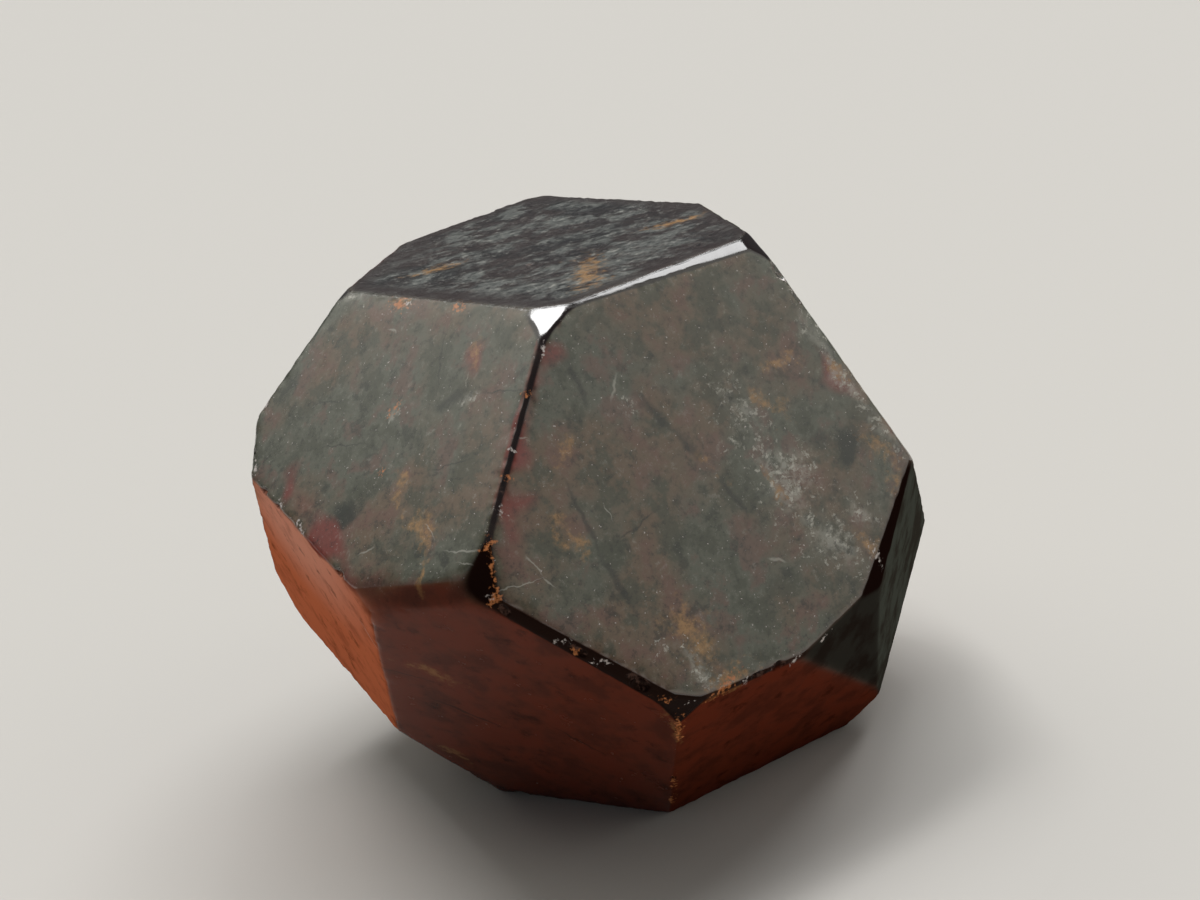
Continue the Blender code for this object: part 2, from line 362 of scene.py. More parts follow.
skin_points = [corners]
skin_count = len(corners)
edge_ids = {}
triangles = []
finishes = []
for index, (normal, distance) in enumerate(planes):
    loop = polygon_of(index)
    if len(loop) < 3:
        continue
    in_plane = np.stack(right_and_up(normal), axis=1)
    rim_ids = []
    for start, end in zip(loop, np.roll(loop, -1)):
        key = (min(start, end), max(start, end))
        if key not in edge_ids:
            span = corners[key[1]] - corners[key[0]]
            count = max(2, round(np.linalg.norm(span) / RIM_STEP))
            skin_points.append(corners[key[0]] + span * (np.arange(1, count)[:, None] / count))
            edge_ids[key] = np.arange(skin_count, skin_count + count - 1)
            skin_count += count - 1
        between = edge_ids[key] if start == key[0] else edge_ids[key][::-1]
        rim_ids += [start, *between]
    rim_ids = np.array(rim_ids)
    rim = np.concatenate(skin_points)[rim_ids] @ in_plane
    turned = corners[loop] @ in_plane
    sides = np.roll(turned, -1, axis=0) - turned
    inward = np.stack([-sides[:, 1], sides[:, 0]], axis=1) / np.linalg.norm(sides, axis=1)[:, None]

    def depth_in(points):
        """How far points are inside the polygon: the smallest distance to its sides' lines."""
        return ((points[:, None, :] - turned[None]) * inward[None]).sum(axis=2).min(axis=1)

    inner = []
    reach = depth_in(turned.mean(axis=0)[None])[0]
    for row in ROWS_BESIDE_EDGES:
        if row < reach * ROW_LIMIT:
            steps = (rim + np.roll(rim, -1, axis=0)) / 2 if row == ROWS_BESIDE_EDGES[0] else rim
            moved = (steps[:, None, :] + inward[None] * row).reshape(-1, 2)
            inner.append(moved[np.abs(depth_in(moved) - row) < ROW_SLACK * row])
    name = face_names[index] if index < first_worn else ""
    step = LATTICE_STEP.get(name, PLAIN_LATTICE_STEP if name else WORN_LATTICE_STEP)
    wide = lattice(turned.min(axis=0), turned.max(axis=0), step)
    wide = wide[depth_in(wide) > max(ROWS_BESIDE_EDGES) + step * LATTICE_MARGIN]
    for middle, _, size in balls:
        above = middle @ normal - distance
        if above > size.max() or above < -size[2]:
            continue
        centre = middle @ in_plane
        radius = size.max() * CHIP_PATCH
        close = lattice(centre - radius, centre + radius, CHIP_STEP)
        close = close[np.linalg.norm(close - centre, axis=1) < radius]
        close = close[depth_in(close) > CHIP_MARGIN]
        if len(close):
            wide = wide[np.linalg.norm(wide - centre, axis=1) > radius]
            inner = [row[np.linalg.norm(row - centre, axis=1) > radius] for row in inner]
            inner.append(close)
    inner = np.concatenate([*inner, wide])
    _, kept = np.unique(np.round(inner / MERGE_STEP), axis=0, return_index=True)
    inner = inner[np.sort(kept)]
    flat = np.concatenate([rim, inner])
    ids = np.concatenate([rim_ids, np.arange(skin_count, skin_count + len(inner))])
    skin_points.append(inner @ in_plane.T + normal * distance)
    skin_count += len(inner)
    ring = np.stack([np.arange(len(rim)), np.roll(np.arange(len(rim)), -1)], axis=1).tolist()
    _, _, joined, sources, _, _ = delaunay_2d_cdt(flat.tolist(), ring, [], INSIDE_RIM_ONLY, TINY)
    first_source = np.array([source[0] for source in sources])
    triangles.append(ids[first_source[np.array(joined)]])
    made_by = plane_makers[index]
    finish = LOWER_SHADED if normal[2] < LOWER_SLOPE or made_by == LOWER_BAND else GLOSSY
    if made_by in SHADED_PLANES:
        finish = SHADED_NO_MIRROR
    if name == "top":
        finish = ETCHED_TOP
    finishes.append(np.full(len(joined), finish))
skin = np.concatenate(skin_points)
triangles = np.concatenate(triangles)
finishes = np.concatenate(finishes)

# How far the wear has rounded the stone, in mm: at an edge, at a corner and within a reach of it,
# and most at two corners at the lower left. Four planes are about equally near at a worn corner.
EDGE_SOFTNESS = 0.06
CORNER_SOFTNESS = 0.09
CORNER_REACH = 0.35
ROUNDED_CORNERS = [("left", "lower_left", "left_low"), ("left", "front", "lower_left")]
ROUND_SOFTNESS = 0.28
ROUND_REACH = 2.6
LEAST_SLOPE = 0.01
FAR = 1000.0

# How dark a worn band or facet is, where it isn't quite black
WORN_DARKNESS = {
    ("front", "right_high"): 0.15,
    ("top", "left"): 0.15,
    ("left", "lower_left"): 0.35,
    ("front", "lower_right", "right_low"): 0.5,
}


def worn_surface(directions, places):
    """How far the surface is from the middle: the nearest plane's distance along each direction,
    blended over neighbouring planes by a soft minimum. Also each plane's share, and the gap
    between the two nearest planes, which is small beside an edge."""
    along = directions @ plane_normals.T
    reach = np.where(along > LEAST_SLOPE, plane_distances / np.maximum(along, LEAST_SLOPE), FAR)
    order = np.sort(reach, axis=1)
    to_corner = order[:, 3] - order[:, 0]
    softness = EDGE_SOFTNESS + CORNER_SOFTNESS * np.exp(-to_corner / CORNER_REACH)
    for names in ROUNDED_CORNERS:
        away = np.linalg.norm(places - corner_of(*names), axis=1)
        softness = softness + ROUND_SOFTNESS * np.exp(-(away / ROUND_REACH) ** 2)
    weights = np.exp((order[:, :1] - reach) / softness[:, None])
    total = weights.sum(axis=1)
    return order[:, 0] - softness * np.log(total), weights / total[:, None], order[:, 1] - order[:, 0]


directions = skin / np.linalg.norm(skin, axis=1)[:, None]
radius, shares, gap = worn_surface(directions, skin)
darkness = np.array([WORN_DARKNESS.get(made_by, 1.0) for made_by in plane_makers[first_worn:]])
rubbed = shares[:, first_worn:].sum(axis=1)
worn = shares[:, first_worn:] @ darkness
etched = shares[:, face_names.index("top")]

# The top's etching: long lens-shaped hillocks along the streaks, with fine grooves over them. Both
# are given by their length and width in mm, and the etching fades out towards the face's edges.
STREAK_HEADING = radians(14)
ETCH_DEPTH = 0.42
HILLOCK = (2.6, 1.4)
GROOVE = (1.1, 0.7)
HILLOCK_SHARE = 0.6
ETCH_MARGIN = 0.1
ETCH_FADE = 1.0
streak_ways = np.array([
    (np.cos(STREAK_HEADING), np.sin(STREAK_HEADING), 0),
    (-np.sin(STREAK_HEADING), np.cos(STREAK_HEADING), 0),
])
streaks = skin @ streak_ways.T
level = np.full((len(skin), 1), 0.5)
hillocks = random_field(np.hstack([streaks / HILLOCK, level]), seed=3)
grooves = random_field(np.hstack([streaks / GROOVE, level]), seed=4)
hollow = HILLOCK_SHARE * hillocks + (1 - HILLOCK_SHARE) * grooves
margin = np.clip((gap - ETCH_MARGIN) / ETCH_FADE, 0, 1)
radius = radius - etched * margin * ETCH_DEPTH * hollow

# Nibbled edges: a random depth, fine and in patches, that dies away from each sharp edge, in mm
NIBBLE_DEPTH = 0.25
NIBBLE_REACH = 0.25
NIBBLE_SIZE = 0.55
NIBBLE_PATCH = 1.9
nibble = random_field(skin / NIBBLE_SIZE, seed=5) * random_field(skin / NIBBLE_PATCH, seed=6)
radius = radius - NIBBLE_DEPTH * nibble * np.exp(-gap / NIBBLE_REACH) * (1 - rubbed)

# Chips and pits: a ray that leaves the stone inside a ball stops where it enters the ball. The
# broken stone is rough by a fine random depth, in mm.
CHIP_REACH = 0.05
CHIP_RAMP = 0.08
BREAK_ROUGHNESS = 0.03
BREAK_SIZE = 0.4
chipped = np.zeros(len(skin))
for middle, axes, size in balls:
    scaled = directions @ axes.T / size
    offset = axes @ middle / size
    square = (scaled ** 2).sum(axis=1)
    cross = scaled @ offset
    under_root = cross ** 2 - square * (offset @ offset - 1)
    root = np.sqrt(np.maximum(under_root, 0))
    enters = (cross - root) / square
    leaves = (cross + root) / square
    hit = (under_root > 0) & (enters < radius) & (leaves > radius - CHIP_REACH)
    chipped = np.where(hit, np.clip((radius - enters) / CHIP_RAMP, 0, 1), chipped)
    radius = np.where(hit, enters, radius)
radius = radius - chipped * BREAK_ROUGHNESS * random_field(skin / BREAK_SIZE, seed=7)

surface = (directions * radius[:, None] + MIDDLE) * MM
surface[:, 2] = np.maximum(surface[:, 2], 0.0)


def mesh_from(name, points, faces):
    """A mesh from arrays of points and triangles, shaded smooth."""
    mesh = bpy.data.meshes.new(name)
    mesh.vertices.add(len(points))
    mesh.vertices.foreach_set("co", points.ravel())
    mesh.loops.add(faces.size)
    mesh.loops.foreach_set("vertex_index", faces.ravel())
    mesh.polygons.add(len(faces))
    mesh.polygons.foreach_set("loop_start", np.arange(0, faces.size, 3))
    mesh.polygons.foreach_set("use_smooth", np.ones(len(faces), bool))
    mesh.update(calc_edges=True)
    return mesh


def paint(mesh, name, values):
    """Stores one number for each vertex under a name that a material can read."""
    layer = mesh.attributes.new(name, "FLOAT", "POINT")
    layer.data.foreach_set("value", values.astype(np.float32))


# What the skin's points know about their place, for the material: how dark they are rubbed, the
# etched top and its rim, broken stone, and the looks of the lower faces, whose red-brown is partly
# painted light from below, with a painted reflection on one face and painted shade on others. The
# lower faces on the far side have only a share of that look.
FAR_SIDE = [
    ("right_under",), ("left_under",), ("back_left",), ("back_right",), ("back_under",),
    ("back_left_under",),
]
FAR_SIDE_SHARE = 0.6
RIM_DARKNESS = 1.3
RIM_FADE = 1.1
RIM_MOST = 0.85
crystal_mesh = mesh_from("garnet_body", surface, triangles)
paint(crystal_mesh, "worn", worn)
paint(crystal_mesh, "etched", etched)
paint(crystal_mesh, "chipped", chipped)
paint(crystal_mesh, "top_rim", etched * np.clip(RIM_DARKNESS - gap / RIM_FADE, 0, RIM_MOST))
under_shares = np.array([
    (normal[2] < LOWER_SLOPE or made_by == LOWER_BAND) * (FAR_SIDE_SHARE if made_by in FAR_SIDE else 1.0)
    for (normal, _), made_by in zip(planes, plane_makers)
])
paint(crystal_mesh, "under", shares @ under_shares)
# Painted reflection: the left low face carries a warm light mirrored in it, as colour.
paint(crystal_mesh, "ruddy_reflection", shares[:, face_names.index("left_low")])
# Painted shade: the cool planes are coloured as a dark grey-green shade.
paint(crystal_mesh, "cool_shade", shares @ np.array([made_by in COOL_SHADE for made_by in plane_makers]))
crystal = bpy.data.objects.new("garnet_body", crystal_mesh)
bpy.context.scene.collection.objects.link(crystal)
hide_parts("garnet_crystal")
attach(crystal, "root")

# ---- Spots and clouds in the stone ----
# Wine-red zones, rusty spots, clouds of pale flecks and dark green blotches that grew in the stone;
# the red zones beside thin edges are partly painted light shining through the stone.
# Each is a long spot on a face, and the skin's points hold the distance from its middle: 1 is its
# rim. A spot ends where its face does, at a depth below the face's plane, in mm.

SPOT_THICKNESS = 1.0
SPOT_LIMIT = 4.0
FACE_DEPTH = 0.6

# The face, where in it to the right and up, half the length and half the width, all in mm, and the
# turn of the length from level, in degrees
RED_ZONES = [
    ("left", -2.9, -12.2, 6.5, 2.0, -27),
    ("left", -9.5, -8.4, 2.4, 0.9, -82),
    ("front", -14.6, 7.0, 8.5, 1.8, 61),
    ("front", -9.5, 12.6, 1.6, 1.0, 40),
    ("left", 6.9, 4.6, 1.6, 1.0, 80),
    ("front", 14.0, 3.4, 2.6, 1.3, -60),
    ("top", -15.0, 9.0, 9.0, 4.5, 65),
]
RUST_SPOTS = [
    ("front", 6.2, 3.5, 1.5, 0.9, -40),
    ("front", 9.3, 6.0, 1.2, 0.9, 20),
    ("front", 3.8, -2.2, 1.2, 0.5, -70),
    ("front", 14.6, 3.8, 1.4, 0.7, -60),
    ("front", -13.3, 0.6, 1.9, 0.8, -70),
    ("front", -7.0, -9.9, 2.2, 1.4, -80),
    ("front", -5.5, -14.8, 2.4, 0.9, 20),
    ("front", 11.4, -10.6, 0.9, 0.6, 0),
    ("front", 10.3, -9.8, 1.9, 0.35, -60),
    ("front", 15.4, -5.6, 2.8, 0.9, -78),
    ("front", -0.6, 1.4, 1.5, 0.6, -60),
    ("front", -10.9, 5.5, 0.9, 0.5, 30),
    ("left", 5.2, -7.4, 2.4, 0.35, -42),
    ("left", 7.6, -9.3, 1.5, 0.9, -50),
    ("left", 9.4, -12.4, 2.0, 0.35, -70),
    ("left", -4.5, 8.5, 1.0, 0.5, 0),
    ("left", 2.7, 8.9, 0.9, 0.4, 0),
    ("left", 6.9, 5.0, 1.2, 0.5, -80),
    ("top", 3.9, -8.0, 4.6, 1.3, -95),
    ("top", -9.3, 3.6, 2.6, 0.9, 14),
    ("top", 12.5, 3.0, 3.0, 1.0, 14),
    ("lower_left", 16.2, 3.0, 3.2, 0.5, -105),
    ("lower_left", -9.2, -6.8, 1.6, 0.5, -60),
    ("lower_left", -3.3, 8.6, 2.4, 0.5, -20),
    ("left_side", 4.0, 2.0, 3.0, 1.2, 30),
    ("back", -5.0, 4.0, 3.0, 0.8, 50),
    ("back_right_high", 2.0, 1.0, 3.0, 0.8, -35),
    ("right_high", 4.0, -2.0, 2.8, 0.9, 60),
]
PALE_FLECKS = [
    ("front", 3.8, 4.2, 2.8, 1.5, -85),
    ("front", 5.2, -2.2, 4.0, 2.3, -72),
    ("front", 7.0, -7.4, 3.8, 1.5, -65),
    ("front", 10.8, -7.4, 1.6, 0.9, -60),
    ("front", -4.7, 7.7, 0.9, 0.7, 60),
    ("front", 14.8, 2.0, 7.6, 0.9, -74),
    ("front", -7.4, -12.6, 2.6, 0.8, -40),
    ("left", 6.9, 1.0, 1.4, 0.5, 25),
    ("left", 0.0, -0.7, 1.1, 0.6, 80),
    ("left", -10.9, 7.6, 1.8, 0.9, 10),
    ("top", 1.2, 3.6, 5.0, 2.0, 14),
    ("top", 0.4, -10.6, 3.0, 0.9, 14),
    ("back", 3.0, -4.0, 3.0, 1.2, 40),
    ("back_left_high", -2.0, 1.0, 2.5, 1.2, -30),
]
GREEN_BLOTCHES = [
    ("front", 11.6, -2.2, 3.4, 1.9, -40),
    ("left", 5.4, 0.6, 1.9, 0.9, 30),
    ("left", -1.5, -9.5, 2.6, 1.2, 60),
    ("back", 0.0, 1.0, 6.0, 4.0, 20),
]

# Small bright points at the edges, painted as colour: glints, and light that comes out of the
# stone there. They are amber and almost white.
AMBER_GLINTS = [
    ("front", -19.6, 0.2, 1.6, 0.16, 74),
    ("front", -20.3, -1.7, 0.6, 0.35, 40),
    ("front", -20.0, 1.7, 1.5, 0.18, 8),
    ("front", -11.9, 10.8, 0.3, 0.2, 0),
    ("front", -15.9, 5.6, 0.3, 0.2, -50),
    ("front", -16.0, -7.8, 0.4, 0.2, -30),
    ("front", -11.1, -13.9, 0.9, 0.4, -25),
    ("front", -5.9, -15.0, 1.3, 0.4, 25),
    ("front", -10.9, -16.1, 0.7, 0.25, -80),
    ("lower_left", 16.4, 3.2, 1.2, 0.3, 70),
    ("lower_left", 15.6, 1.2, 0.5, 0.25, 70),
    ("lower_left", 11.9, -7.4, 1.2, 0.2, 70),
    ("lower_left", 10.5, -10.6, 0.7, 0.25, 70),
    ("left", 2.7, 8.4, 0.6, 0.4, 0),
    ("left", -4.4, 8.2, 1.1, 0.5, 0),
    ("left", 1.2, -5.6, 0.5, 0.3, 80),
    ("left", -0.2, -0.6, 0.7, 0.35, 60),
]
WHITE_GLINTS = [
    ("front", -9.6, 13.3, 0.7, 0.16, 68),
    ("front", -7.2, 14.8, 0.2, 0.15, 0),
    ("front", -14.7, 7.3, 0.35, 0.16, -60),
    ("front", -17.3, 3.7, 0.5, 0.3, -70),
    ("front", -18.8, 2.9, 0.15, 0.12, 0),
    ("front", -20.6, -1.5, 0.3, 0.2, 0),
    ("front", -16.7, -6.6, 0.5, 0.2, -20),
    ("front", -14.2, -9.3, 0.6, 0.18, -30),
    ("front", -9.0, -14.9, 0.3, 0.15, 0),
    ("front", -4.0, -15.3, 0.35, 0.18, 20),
    ("front", 0.6, -15.7, 0.6, 0.15, 25),
    ("front", 4.0, -15.2, 0.6, 0.2, 25),
    ("front", 5.8, -15.2, 0.5, 0.28, 0),
    ("front", 13.2, 11.3, 1.6, 0.4, -62),
    ("front", 11.0, -11.0, 1.2, 0.3, -70),
    ("left", -17.1, -2.1, 0.35, 0.35, 60),
    ("left", -14.8, -7.6, 0.6, 0.3, -60),
    ("left", -15.6, 7.2, 1.4, 0.6, 10),
    ("left", -3.6, 8.4, 0.5, 0.3, 0),
    ("left", -6.0, -11.4, 0.8, 0.25, -35),
    ("left", -9.6, -9.9, 0.6, 0.25, -50),
]


def mark_axes(name, turn):
    """The directions along a mark, across it and out of its face."""
    normal = outward(name)
    right, up = right_and_up(normal)
    along = right * np.cos(radians(turn)) + up * np.sin(radians(turn))
    return np.stack([along, np.cross(normal, along), normal])


def distance_to_spots(places, moves, spots):
    """The smallest distance to any of the spots, as a share of the way from its middle to its rim.
    Each place is moved at random, so that the rims wander, and is kept off a face that it isn't on."""
    distance = np.full(len(places), SPOT_LIMIT)
    for name, across, rise, half_length, half_width, turn in spots:
        size = np.array((half_length, half_width, SPOT_THICKNESS))
        from_middle = places + moves - on_face(name, across, rise)
        sunk = FACES[name][2] - places @ outward(name)
        off_face = np.clip((sunk - FACE_DEPTH) / FACE_DEPTH, 0, 1) * SPOT_LIMIT
        share = np.linalg.norm(from_middle @ mark_axes(name, turn).T / size, axis=1)
        distance = np.minimum(distance, share + off_face)
    return distance


# The moves: how far apart they change, and how far they reach for large spots and for points, in mm
DRIFT_SIZE = 2.2
SPOT_DRIFT = 2.4
POINT_DRIFT = 0.3
drift = np.stack([random_field(skin / DRIFT_SIZE, seed) - 0.5 for seed in (11, 12, 13)], axis=1)
paint(crystal_mesh, "red", distance_to_spots(skin, drift * SPOT_DRIFT, RED_ZONES))
paint(crystal_mesh, "rust", distance_to_spots(skin, drift * SPOT_DRIFT, RUST_SPOTS))
paint(crystal_mesh, "pale", distance_to_spots(skin, drift * SPOT_DRIFT, PALE_FLECKS))
paint(crystal_mesh, "green", distance_to_spots(skin, drift * SPOT_DRIFT, GREEN_BLOTCHES))
paint(crystal_mesh, "amber", distance_to_spots(skin, drift * POINT_DRIFT, AMBER_GLINTS))
paint(crystal_mesh, "bright", distance_to_spots(skin, drift * POINT_DRIFT, WHITE_GLINTS))

# ---- The garnet itself ----
# Almost black stone under a clear polish: grey-green and brown on the upper faces, red-brown on
# the lower ones, partly the stone's colour and partly painted light shining through from below.
# Spots, veins and cracks lie in it, its worn bands are nearly black, its top is etched dull, and
# broken stone in the chips is a dull pink. One lower face holds a painted reflection, some planes
# painted shade, and the edges painted glints.

garnet = bpy.data.materials.new("garnet")
garnet.use_nodes = True
garnet_nodes = garnet.node_tree.nodes
garnet_links = garnet.node_tree.links
garnet_surface = garnet_nodes["Principled BSDF"]


def feed(socket, value):
    """Joins a node's output to a socket, or sets a plain value on it."""
    if isinstance(value, bpy.types.NodeSocket):
        garnet_links.new(value, socket)
    else:
        socket.default_value = value


def reckon(operation, first, second=0.0, third=0.0):
    """One Math node."""
    node = garnet_nodes.new("ShaderNodeMath")
    node.operation = operation
    for socket, value in zip(node.inputs, (first, second, third)):
        feed(socket, value)
    return node.outputs[0]


def vector(operation, first, second=(0, 0, 0), scale=1.0):
    """One Vector Math node, with its vector and its number."""
    node = garnet_nodes.new("ShaderNodeVectorMath")
    node.operation = operation
    feed(node.inputs[0], first)
    feed(node.inputs[1], second)
    feed(node.inputs[3], scale)
    return node.outputs[1] if operation == "LENGTH" else node.outputs[0]


def placed(place, centre, axes, size):
    """Coordinates measured from a centre along three axes, as shares of a size along each."""
    node = garnet_nodes.new("ShaderNodeMapping")
    node.vector_type = "TEXTURE"
    feed(node.inputs["Vector"], place)
    node.inputs["Location"].default_value = centre
    node.inputs["Rotation"].default_value = Matrix(np.array(axes).T.tolist()).to_euler()
    node.inputs["Scale"].default_value = size
    return node.outputs["Vector"]


def noise(place, scale, detail, roughness=0.5, colour=False):
    """Random clouds, with about one bump in every 1/scale mm."""
    node = garnet_nodes.new("ShaderNodeTexNoise")
    feed(node.inputs["Vector"], place)
    node.inputs["Scale"].default_value = scale
    node.inputs["Detail"].default_value = detail
    node.inputs["Roughness"].default_value = roughness
    return node.outputs["Color" if colour else "Fac"]


def step(value, low, high, top=1.0):
    """Rises smoothly from 0 at low to top at high, or falls if low is the larger."""
    node = garnet_nodes.new("ShaderNodeMapRange")
    node.interpolation_type = "SMOOTHSTEP"
    feed(node.inputs["Value"], value)
    node.inputs["From Min"].default_value = min(low, high)
    node.inputs["From Max"].default_value = max(low, high)
    node.inputs["To Min"].default_value = 0.0 if low < high else top
    node.inputs["To Max"].default_value = top if low < high else 0.0
    return node.outputs["Result"]


def mix(share, under, over):
    """The over colour laid on the under one by a share from 0 to 1."""
    node = garnet_nodes.new("ShaderNodeMix")
    node.data_type = "RGBA"
    feed(node.inputs[0], share)
    feed(node.inputs[6], under)
    feed(node.inputs[7], over)
    return node.outputs[2]


def painted(name):
    """A number stored on the skin's points."""
    node = garnet_nodes.new("ShaderNodeAttribute")
    node.attribute_name = name
    return node.outputs["Fac"]


def mark(place, name, across, rise, half_length, half_width, turn):
    """How far a place is from the middle of a long spot on a face: 1 is the spot's rim."""
    centre = MIDDLE + on_face(name, across, rise)
    size = (half_length, half_width, SPOT_THICKNESS)
    return vector("LENGTH", placed(place, centre, mark_axes(name, turn), size))


def nearest_mark(place, marks):
    """The distance to the nearest of several marks."""
    distance = mark(place, *marks[0])
    for one in marks[1:]:
        distance = reckon("MINIMUM", distance, mark(place, *one))
    return distance


def wandering(place, scale, amount):
    """Places moved about at random, by up to half the amount in mm."""
    shift = vector("SUBTRACT", noise(place, scale, 3, colour=True), (0.5, 0.5, 0.5))
    return vector("ADD", place, vector("SCALE", shift, scale=amount))


# Cracks and scratches: the face, where in it to the right and up, half the length and half the
# width, all in mm, and the turn of the length from level, in degrees
CRACKS = [
    ("front", -2.9, 6.0, 2.4, 0.42, -64),
    ("front", -1.3, 2.8, 2.0, 0.34, -66),
    ("front", 0.7, -2.2, 2.4, 0.32, -72),
    ("front", -11.6, 1.0, 3.2, 0.20, -86),
    ("front", -11.0, -4.4, 2.8, 0.30, -80),
    ("front", -8.0, -1.3, 2.4, 0.10, 15),
    ("front", -8.0, 10.0, 2.0, 0.25, -85),
    ("left", 8.4, -4.0, 2.2, 0.09, 22),
    ("left", -4.8, -4.2, 3.0, 0.09, 12),
    ("left", -9.0, -1.0, 2.2, 0.09, 10),
    ("left", 11.0, 2.2, 2.6, 0.09, 8),
    ("left", 6.0, 1.2, 1.4, 0.50, 30),
    ("left", 3.0, 4.0, 3.4, 0.10, -70),
    ("lower_left", -3.0, 2.0, 3.4, 0.20, -40),
    ("lower_left", 6.0, -1.0, 2.8, 0.16, -55),
    ("lower_left", -6.0, 8.0, 2.8, 0.14, -20),
    ("back", 1.0, -2.0, 5.0, 0.25, 35),
    ("back_left", 0.0, 2.0, 4.0, 0.20, -50),
]
SCRATCHES = [
    ("front", -5.3, 8.9, 1.2, 0.13, 60),
    ("front", 2.3, -8.1, 0.9, 0.15, -35),
    ("front", -16.6, -0.8, 1.1, 0.10, -70),
    ("front", -16.0, -2.4, 0.7, 0.08, -60),
    ("front", -13.9, 8.0, 0.6, 0.07, -30),
    ("front", -12.0, 12.2, 0.5, 0.07, 20),
    ("front", -9.6, 0.4, 0.7, 0.06, -80),
    ("front", -18.4, -1.6, 2.4, 0.06, -8),
    ("left", 13.0, -9.9, 2.0, 0.10, 10),
    ("left", 14.2, -10.8, 1.6, 0.08, 4),
    ("left", -4.1, 5.9, 0.7, 0.10, -20),
    ("left", 6.8, 2.6, 0.8, 0.05, -75),
    ("left", 9.0, -9.2, 1.1, 0.06, -35),
    ("left", 2.8, -11.8, 0.9, 0.10, 25),
    ("left_low", 8.0, 5.4, 1.6, 0.09, -74),
    ("back", -3.0, -3.0, 1.8, 0.08, -20),
]

# Colours of the stone, as red, green and blue shares of the light that it sends back
GREY_GREEN = (0.096, 0.100, 0.072, 1)
OLIVE = (0.052, 0.055, 0.034, 1)
DARK_GREEN = (0.012, 0.015, 0.009, 1)
WARM_BROWN = (0.135, 0.090, 0.055, 1)
WINE_RED = (0.190, 0.024, 0.018, 1)
DIM_RED = (0.150, 0.064, 0.050, 1)
UNDER_BROWN = (0.132, 0.024, 0.011, 1)
UNDER_DARK = (0.078, 0.016, 0.008, 1)
UNDER_BLACK = (0.012, 0.004, 0.002, 1)
RUDDY_REFLECTION = (0.640, 0.170, 0.075, 1)
RUDDY_REFLECTION_PALE = (0.780, 0.330, 0.225, 1)
AMBER = (0.520, 0.190, 0.070, 1)
ALMOST_WHITE = (0.580, 0.520, 0.490, 1)
COOL_SHADE_GREY = (0.060, 0.064, 0.053, 1)
COOL_SHADE_DARK = (0.034, 0.030, 0.024, 1)
RUST = (0.380, 0.205, 0.075, 1)
PALE_GREY = (0.500, 0.480, 0.420, 1)
BAND_BLACK = (0.010, 0.004, 0.003, 1)
CRACK_BLACK = (0.008, 0.008, 0.006, 1)
CHIP_PINK = (0.120, 0.065, 0.050, 1)
TOP_DARK = (0.007, 0.007, 0.008, 1)
TOP_GREY = (0.115, 0.122, 0.114, 1)
TOP_BROWN = (0.026, 0.016, 0.015, 1)
TOP_PALE = (0.300, 0.300, 0.270, 1)

coordinates = garnet_nodes.new("ShaderNodeTexCoord")
in_mm = vector("SCALE", coordinates.outputs["Object"], scale=1 / MM)
unsteady = wandering(in_mm, 0.9, 0.9)
worn_share = painted("worn")
top_share = painted("etched")
under_share = painted("under")
chip_share = painted("chipped")

grain = noise(in_mm, 1.6, 6, 0.65)
mottle = noise(in_mm, 0.30, 6, 0.62)
patches = noise(unsteady, 0.55, 5, 0.6)
clouds = noise(in_mm, 0.12, 3)
speckle = noise(in_mm, 1.3, 8, 0.8)
dust = noise(in_mm, 4.5, 2, 0.5)

# The upper faces: grey-green and brown clouds with olive, red and dark green in them
body_colour = mix(step(clouds, 0.42, 0.60), GREY_GREEN, WARM_BROWN)
body_colour = mix(step(mottle, 0.50, 0.40, 0.8), body_colour, OLIVE)
body_colour = mix(step(mottle, 0.50, 0.62, 0.55), body_colour, DIM_RED)
body_colour = mix(step(patches, 0.44, 0.32, 0.6), body_colour, DARK_GREEN)
greened = step(reckon("ADD", painted("green"), reckon("MULTIPLY", grain, 0.6)), 1.5, 0.9, 0.95)
body_colour = mix(greened, body_colour, DARK_GREEN)

# The lower faces: red-brown with black clouds, partly the stone's colour and partly painted light
# shining through from below. One of them holds a painted reflection of a warm light, ruddy and paler
# higher up.
under_colour = mix(step(mottle, 0.40, 0.66), UNDER_BROWN, UNDER_DARK)
paled_reflection = step(mark(unsteady, "left_low", -1.0, 14.0, 14.0, 10.0, 0), 1.3, 0.3)
ruddy_reflection_colour = mix(step(mottle, 0.46, 0.70, 0.4), mix(paled_reflection, RUDDY_REFLECTION, RUDDY_REFLECTION_PALE), UNDER_BROWN)
under_colour = mix(painted("ruddy_reflection"), under_colour, ruddy_reflection_colour)
under_colour = mix(step(patches, 0.44, 0.28, 0.5), under_colour, UNDER_BLACK)
body_colour = mix(reckon("MULTIPLY", under_share, 0.95), body_colour, under_colour)

# The wine-red zones, partly painted light through thin edges, the rusty spots, specks of black and
# grey, white dust and pale flecks
reddened = step(painted("red"), 1.3, 0.3, 0.85)
body_colour = mix(reddened, body_colour, WINE_RED)
rust_edge = reckon("ADD", painted("rust"), reckon("MULTIPLY", reckon("SUBTRACT", grain, 0.5), 4.5))
upper_share = reckon("SUBTRACT", 1.0, under_share)
mark_share = reckon("MULTIPLY_ADD", upper_share, 0.55, 0.45)
body_colour = mix(reckon("MULTIPLY", step(rust_edge, 1.5, -0.1, 0.85), mark_share), body_colour, RUST)
body_colour = mix(reckon("MULTIPLY", step(speckle, 0.50, 0.34, 0.6), upper_share), body_colour, CRACK_BLACK)
body_colour = mix(reckon("MULTIPLY", step(speckle, 0.54, 0.70, 0.25), upper_share), body_colour, PALE_GREY)
body_colour = mix(reckon("MULTIPLY", step(dust, 0.70, 0.77), upper_share), body_colour, ALMOST_WHITE)
fleck_grain = reckon("SUBTRACT", 0.575, noise(unsteady, 1.7, 7, 0.7))
